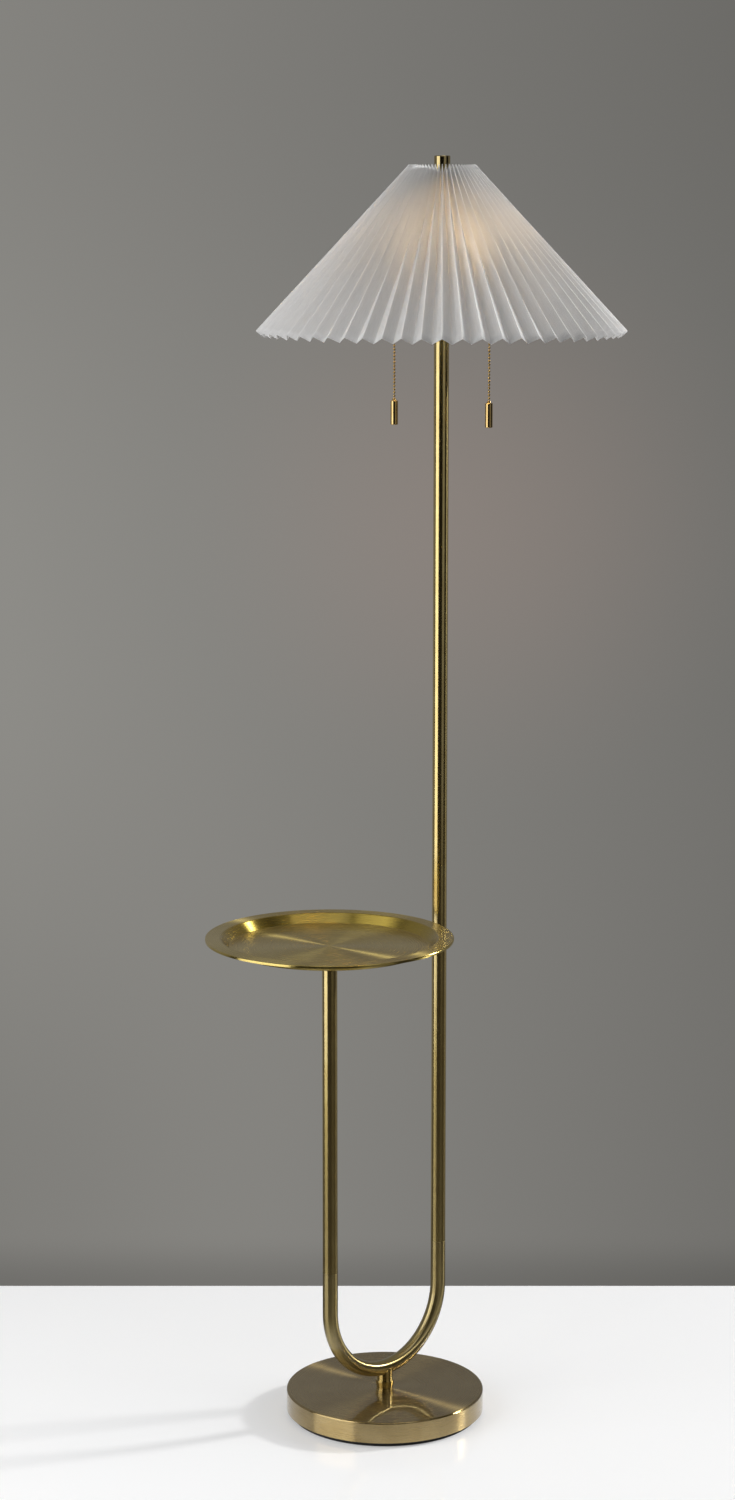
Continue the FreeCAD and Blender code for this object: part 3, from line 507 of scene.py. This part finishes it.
def make_side_finishes(side, plain):
    """The finishes of one socket, its chain and its bulb. The brass is brushed round its own axis."""
    start = "left" if side < 0 else "right"
    socket = brass("brass of the " + start + " socket", beside_pole(side, SOCKET_AT))
    chain = brass("polished brass of the " + start + " chain", beside_pole(side, CHAIN_AT),
                  tones=POLISHED, rough=(0.08, 0.12), anisotropic=0.3, wear=0)
    glass = make_bulb_glass("frosted glass of the " + start + " bulb", BULB_LEVEL[side])
    worn = {
        "socket_shell": socket, "socket_cap": socket, "socket_arm": socket,
        "chain": chain, "chain_link": chain, "fob": chain, "chain_hood": chain, "thread_shell": chain,
        "bulb_glass": glass, "bulb_cap": plain["bulb_cap"],
        "socket_liner": plain["card"], "socket_core": plain["switch"], "pull_lever": plain["steel"],
    }
    return {start + "_" + piece: finish for piece, finish in worn.items()}


# Pieces with the same finish as another piece, or with one of the plain finishes.
SHARED = {
    "stem_collar": ("stem_boss",),
    "lower_pole": ("upper_pole", "cluster_body", "cluster_cap", "riser_rod"),
    "tray_post": ("tray_hub",),
    "shade_spider": ("shade_foot_ring",),
    "steel": ("base_nut", "base_washer", "base_nipple", "tube_couplers", "tray_stud", "tray_post_bush",
              "cluster_bush", "cluster_nipple", "spider_seat_nut"),
}

plain_finishes = make_plain_finishes()
finishes = {**make_brass_finishes(), **plain_finishes, "shade_pleats": make_cloth()}
for finish, pieces in SHARED.items():
    for name in pieces:
        finishes[name] = finishes[finish]
for side in (-1, 1):
    finishes.update(make_side_finishes(side, plain_finishes))

for name, piece in nodes.items():
    piece.data.materials.clear()
    piece.data.materials.append(finishes[name])


# ---- The pleated shade -------------------------------------------------------------------------
FOLDS = 2 * PLEATS
ROWS = 24
CREASE = 0.03
COLUMNS = (0.0, CREASE, 0.27, 0.5, 0.73, 1 - CREASE)
CREASE_SIDES = (CREASE, 1 - CREASE)
CREASE_ROUNDING = 0.45
# How pale the crease and its sides are painted, partly as painted highlight.
CREASE_TONE_AND_HIGHLIGHT = 1.0
BESIDE_CREASE_TONE_AND_HIGHLIGHT = 0.35
FOLD_SLIP = math.radians(0.12)
FOOT_SLIP = 0.0006
FACE_BOW = 0.0004
BOW_ENDS_EARLY = 1.2
SEED = 7


def fold_end(end, valley):
    """Radius and height of a fold at the top or the foot, as in the drawing."""
    radius, height = end
    across = radius * math.sin(math.pi / PLEATS)
    depth = math.sqrt(PLEAT_WIDTH ** 2 - across ** 2) if valley else 0.0
    return radius - depth * RIDGE_FALL / RIDGE_SLANT, height - depth * RIDGE_RUN / RIDGE_SLANT


def draw_folds(draw):
    """Top and foot of each fold line, ridge and valley in turn, each a little out of its true place."""
    folds = []
    for i in range(FOLDS):
        turn = RIDGE_AZ + i * math.pi / PLEATS + draw.uniform(-FOLD_SLIP, FOLD_SLIP)
        ends = []
        for end in (RIDGE_TOP, RIDGE_FOOT):
            radius, height = fold_end(end, i % 2)
            ends.append(Vector((POLE_X + radius * math.cos(turn), radius * math.sin(turn), height)))
        ends[1] += (ends[0] - ends[1]).normalized() * draw.uniform(0.0, FOOT_SLIP)
        folds.append(ends)
    return folds


def on_face(folds, bows, i, share, row):
    """A point of a bowed face: its share of the way to the next fold, and its row from the top."""
    down = row / ROWS
    this, after = folds[i % FOLDS], folds[(i + 1) % FOLDS]
    start = this[0].lerp(this[1], down)
    end = after[0].lerp(after[1], down)
    out = (end - start).cross(this[1] - this[0]).normalized()
    along = math.sin(math.pi * min(1.0, down * BOW_ENDS_EARLY))
    bow = bows[i % FOLDS] * math.sin(math.pi * share) * along
    return start.lerp(end, share) + out * bow


def on_crease(folds, bows, i, row):
    """A point of a fold line, drawn in towards the two faces beside it."""
    corner = on_face(folds, bows, i, 0.0, row)
    before = on_face(folds, bows, i - 1, 1 - CREASE, row)
    after = on_face(folds, bows, i, CREASE, row)
    return corner.lerp((before + after) / 2, CREASE_ROUNDING)


def add_points(bm, folds, bows):
    """The rows of points from the top to the foot, each marked by how pale its crease is painted: partly
    the pressed fold's own tone, partly a painted highlight.
    """
    crease_and_highlight = bm.verts.layers.float.new("fold")
    grid = []
    for row in range(ROWS + 1):
        ring = []
        for i in range(FOLDS):
            for share in COLUMNS:
                if share == 0.0:
                    vert = bm.verts.new(on_crease(folds, bows, i, row))
                    vert[crease_and_highlight] = CREASE_TONE_AND_HIGHLIGHT
                else:
                    vert = bm.verts.new(on_face(folds, bows, i, share, row))
                    vert[crease_and_highlight] = BESIDE_CREASE_TONE_AND_HIGHLIGHT if share in CREASE_SIDES else 0.0
                ring.append(vert)
        grid.append(ring)
    return grid


def add_faces(bm, grid):
    """The cloth between the points, with its flat strip as the UV map, in metres."""
    strip = bm.loops.layers.uv.new("cloth")
    count = len(grid[0])
    for row in range(ROWS):
        top, foot = row / ROWS * RIDGE_SLANT, (row + 1) / ROWS * RIDGE_SLANT
        for c in range(count):
            n = (c + 1) % count
            face = bm.faces.new((grid[row][c], grid[row + 1][c], grid[row + 1][n], grid[row][n]))
            face.smooth = True
            fold, column = divmod(c, len(COLUMNS))
            near = (fold + COLUMNS[column]) * PLEAT_WIDTH
            far = (fold + (COLUMNS[(column + 1) % len(COLUMNS)] or 1.0)) * PLEAT_WIDTH
            for loop, spot in zip(face.loops, ((near, top), (near, foot), (far, foot), (far, top))):
                loop[strip].uv = spot
            if COLUMNS[column] in CREASE_SIDES:
                bm.edges.get((grid[row][c], grid[row + 1][c])).smooth = False


def make_shade():
    """One strip of cloth, pleated and closed to a cone, with narrow round folds and bowed faces."""
    draw = random.Random(SEED)
    folds = draw_folds(draw)
    bows = [draw.uniform(-FACE_BOW, FACE_BOW) for _ in range(FOLDS)]
    bm = bmesh.new()
    add_faces(bm, add_points(bm, folds, bows))
    bm.normal_update()
    shade = new_sheet("pleated_shade", bm)
    thick = shade.modifiers.new("cloth", "SOLIDIFY")
    thick.thickness = CLOTH_THICK
    thick.offset = -1.0
    shade.data.materials.append(finishes["shade_pleats"])
    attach(shade, "shade")
    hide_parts("shade_pleats")


make_shade()


# ---- Floor, wall and light ---------------------------------------------------------------------
BLACK = (0, 0, 0, 1)
WALL_GREY = (0.213, 0.208, 0.194)
# The tone of the pool of the bulbs' light that is painted on the wall.
WALL_PAINTED_BULB_LIGHT = (0.256, 0.226, 0.205, 1)
WORLD_TONE = (0.165, 0.168, 0.175, 1)
SCREEN_TONE = (0.004, 0.004, 0.004, 1)

# The floor fades from white to grey between two radii, and nearer to the lamp where metal mirrors it.
FLOOR_R = 14.0
FADE_SEEN = (0.7, 1.4)
FADE_MIRRORED = (0.12, 0.38)
GLOSS_FADE = (0.7, 1.2)
FLOOR_GLOSS = 0.35
FLOOR_WHITE = (0.80, 0.80, 0.80, 1)
FLOOR_WHITE_LIFT = (0.28, 0.28, 0.281, 1)
FLOOR_FAR_SEEN = (0.08, 0.078, 0.074, 1)
FLOOR_FAR_SEEN_LIFT = (0.10, 0.098, 0.092, 1)
FLOOR_FAR_MIRRORED = (0.03, 0.027, 0.022, 1)
FLOOR_FAR_MIRRORED_LIFT = (0.04, 0.036, 0.03, 1)

WALL_BEHIND = 0.472
WALL_HALF = 7
WALL_TOP = 6
# A pool of the bulbs' warm light is painted on the wall under the shade, with this place and radius.
BULB_LIGHT_POOL_SIDE = 0.13
BULB_LIGHT_POOL_Z = 1.10
BULB_LIGHT_POOL_R = 0.45

# How the wall's brightness changes: from and to in metres, then the level at each of the two.
WALL_ACROSS = (-0.51, 0.49, 1.25, 0.81)
WALL_NEAR_FLOOR = (0.0, 0.08, 0.76, 1.0)
WALL_UP_HIGH = (1.0, 1.75, 1.0, 0.87)
CORNER_ACROSS = (-0.6, -0.1, 1.0, 0.0)
CORNER_UP = (0.1, 0.9, 0.2, 0.0)


def camera_share(tree):
    """1 for rays from the camera, from gloss and through glass."""
    path = tree.nodes.new("ShaderNodeLightPath").outputs
    seen = maths(tree, "MAXIMUM", path["Is Camera Ray"], path["Is Glossy Ray"])
    return maths(tree, "MAXIMUM", seen, path["Is Transmission Ray"])


def make_floor():
    """A white glossy floor that fades to the grey of the backdrop, away from the lamp."""
    bm = bmesh.new()
    bmesh.ops.create_circle(bm, cap_ends=True, radius=FLOOR_R, segments=96)
    floor = new_sheet("floor", bm)
    mat, tree, surface = new_material("white gloss floor", Roughness=0.12, Emission_Strength=1.0)
    away = vector_maths(tree, "LENGTH", place_on(tree))
    mirrored = tree.nodes.new("ShaderNodeLightPath").outputs["Is Glossy Ray"]
    start = spread(tree, mirrored, 0.0, 1.0, FADE_SEEN[0], FADE_MIRRORED[0])
    end = spread(tree, mirrored, 0.0, 1.0, FADE_SEEN[1], FADE_MIRRORED[1])
    near = spread(tree, away, start, end, 1.0, 0.0, smooth=True)
    far_tone = mixed(tree, mirrored, FLOOR_FAR_SEEN, FLOOR_FAR_MIRRORED)
    far_lift = mixed(tree, mirrored, FLOOR_FAR_SEEN_LIFT, FLOOR_FAR_MIRRORED_LIFT)
    lift = mixed(tree, near, far_lift, FLOOR_WHITE_LIFT)
    link(tree, mixed(tree, near, far_tone, FLOOR_WHITE), surface["Base Color"])
    link(tree, mixed(tree, camera_share(tree), BLACK, lift), surface["Emission Color"])
    gloss = spread(tree, away, *GLOSS_FADE, FLOOR_GLOSS, 0.0, smooth=True)
    link(tree, gloss, surface["Specular IOR Level"])
    floor.data.materials.append(mat)


def wall_strength(tree, place, side):
    """The wall is brighter to the left, and dimmer at the floor, up high and in the low left corner."""
    z = split(tree, place)[2]
    level = spread(tree, side, *WALL_ACROSS)
    foot = spread(tree, z, *WALL_NEAR_FLOOR, smooth=True)
    high = spread(tree, z, *WALL_UP_HIGH, smooth=True)
    leftmost = spread(tree, side, *CORNER_ACROSS, smooth=True)
    lowest = spread(tree, z, *CORNER_UP, smooth=True)
    corner = maths(tree, "SUBTRACT", 1.0, product(tree, leftmost, lowest))
    return product(tree, level, foot, high, corner)


def make_wall():
    """A grey wall behind the lamp. From behind it isn't there, so that the lamp shows from all sides."""
    across = look_dir(90)
    foot = -look_dir(0) * WALL_BEHIND
    left = foot - across * WALL_HALF
    right = foot + across * WALL_HALF
    bm = bmesh.new()
    corners = (left, right, right + upright(WALL_TOP), left + upright(WALL_TOP))
    bm.faces.new([bm.verts.new(corner) for corner in corners])
    bm.normal_update()
    wall = new_sheet("wall", bm)
    wall.visible_shadow = False
    wall.visible_diffuse = False
    mat = bpy.data.materials.new("grey wall")
    mat.use_nodes = True
    tree = mat.node_tree
    tree.nodes.remove(tree.nodes["Principled BSDF"])
    shine = tree.nodes.new("ShaderNodeEmission")
    place = place_on(tree)
    side = vector_maths(tree, "DOT_PRODUCT", place, tuple(across))
    link(tree, wall_strength(tree, place, side), shine.inputs["Strength"])
    # Painted light: the bulbs' warm light as a pool on the wall under the shade.
    bulb_light_pool = foot + across * BULB_LIGHT_POOL_SIDE + upright(BULB_LIGHT_POOL_Z)
    near = vector_maths(tree, "DISTANCE", place, tuple(bulb_light_pool))
    painted_bulb_light = spread(tree, near, 0.0, BULB_LIGHT_POOL_R, 1.0, 0.0, smooth=True)
    link(tree, mixed(tree, painted_bulb_light, (*WALL_GREY, 1), WALL_PAINTED_BULB_LIGHT), shine.inputs["Color"])
    clear = tree.nodes.new("ShaderNodeBsdfTransparent")
    mix = tree.nodes.new("ShaderNodeMixShader")
    link(tree, tree.nodes.new("ShaderNodeNewGeometry").outputs["Backfacing"], mix.inputs[0])
    link(tree, shine.outputs[0], mix.inputs[1])
    link(tree, clear.outputs[0], mix.inputs[2])
    link(tree, mix.outputs[0], tree.nodes["Material Output"].inputs["Surface"])
    wall.data.materials.append(mat)


def make_world():
    """The dim room round the lamp. Gloss and the camera see the grey of the wall there."""
    world = bpy.data.worlds.new("studio")
    bpy.context.scene.world = world
    world.use_nodes = True
    tree = world.node_tree
    back = tree.nodes["Background"]
    link(tree, mixed(tree, camera_share(tree), WORLD_TONE, (*WALL_GREY, 1)), back.inputs["Color"])
    back.inputs["Strength"].default_value = 1.0


def softbox(name, turn, reach, middle, width, height, radiance, aim_z=None, in_gloss=True,
            in_diffuse=True):
    """A rectangular light at the turn that look_dir gives. It aims at the axis, level or at aim_z."""
    data = bpy.data.lights.new(name, "AREA")
    data.shape = "RECTANGLE"
    data.size = width
    data.size_y = height
    data.energy = radiance * math.pi * width * height
    lamp = new_object(name, data)
    at = look_dir(turn) * reach + upright(middle)
    back = at - upright(middle if aim_z is None else aim_z)
    lamp.matrix_world = Matrix.Translation(at) @ back.to_track_quat("Z", "Y").to_matrix().to_4x4()
    lamp.visible_glossy = in_gloss
    lamp.visible_diffuse = in_diffuse


def make_lights():
    """Wash and back don't show in gloss, and glint shows only there. The others light everything."""
    softbox("key", turn=-60, reach=1.6, middle=1.25, width=1.5, height=2.4, radiance=2.25)
    softbox("fill", turn=42, reach=2.6, middle=1.3, width=1.6, height=2.2, radiance=0.3)
    softbox("side", turn=105, reach=6.0, middle=3.3, width=0.6, height=0.6, radiance=210.0, aim_z=0.7)
    softbox("top", turn=20, reach=0.9, middle=3.4, width=2.2, height=2.2, radiance=0.75, aim_z=1.2)
    softbox("wash", turn=96, reach=2.6, middle=1.6, width=1.6, height=2.0, radiance=3.0,
            in_gloss=False)
    softbox("glint", turn=105, reach=5.9, middle=3.25, width=0.45, height=0.45, radiance=130.0,
            aim_z=0.7, in_diffuse=False)
    softbox("back", turn=175, reach=2.6, middle=1.6, width=2.0, height=2.0, radiance=0.6,
            in_gloss=False)


def make_black_screen(reach, start, end, height, steps=48):
    """A curved black screen that only shows as the dark bands in the metal."""
    bm = bmesh.new()
    turns = [start + (end - start) * i / steps for i in range(steps + 1)]
    low, high = ([bm.verts.new(look_dir(turn) * reach + upright(z)) for turn in turns]
                 for z in (0.0, height))
    for i in range(steps):
        bm.faces.new((low[i], low[i + 1], high[i + 1], high[i]))
    screen = new_sheet("black_screen", bm)
    screen.visible_camera = False
    screen.visible_diffuse = False
    screen.visible_shadow = False
    screen.visible_transmission = False
    black = new_material("black screen", Base_Color=SCREEN_TONE, Roughness=1.0)[0]
    screen.data.materials.append(black)


make_floor()
make_wall()
make_world()
make_lights()
make_black_screen(reach=3.4, start=-125, end=99, height=5.0)


# ---- Camera ------------------------------------------------------------------------------------
def make_camera():
    data = bpy.data.cameras.new("camera")
    data.lens = LENS
    data.sensor_width = SENSOR
    cam = new_object("camera", data)
    cam.location = CAMERA_AT
    cam.rotation_euler = (math.pi / 2 - LOOK_TILT, 0, -LOOK_TURN)
    bpy.context.scene.camera = cam


make_camera()
bpy.context.scene.view_settings.view_transform = "Standard"
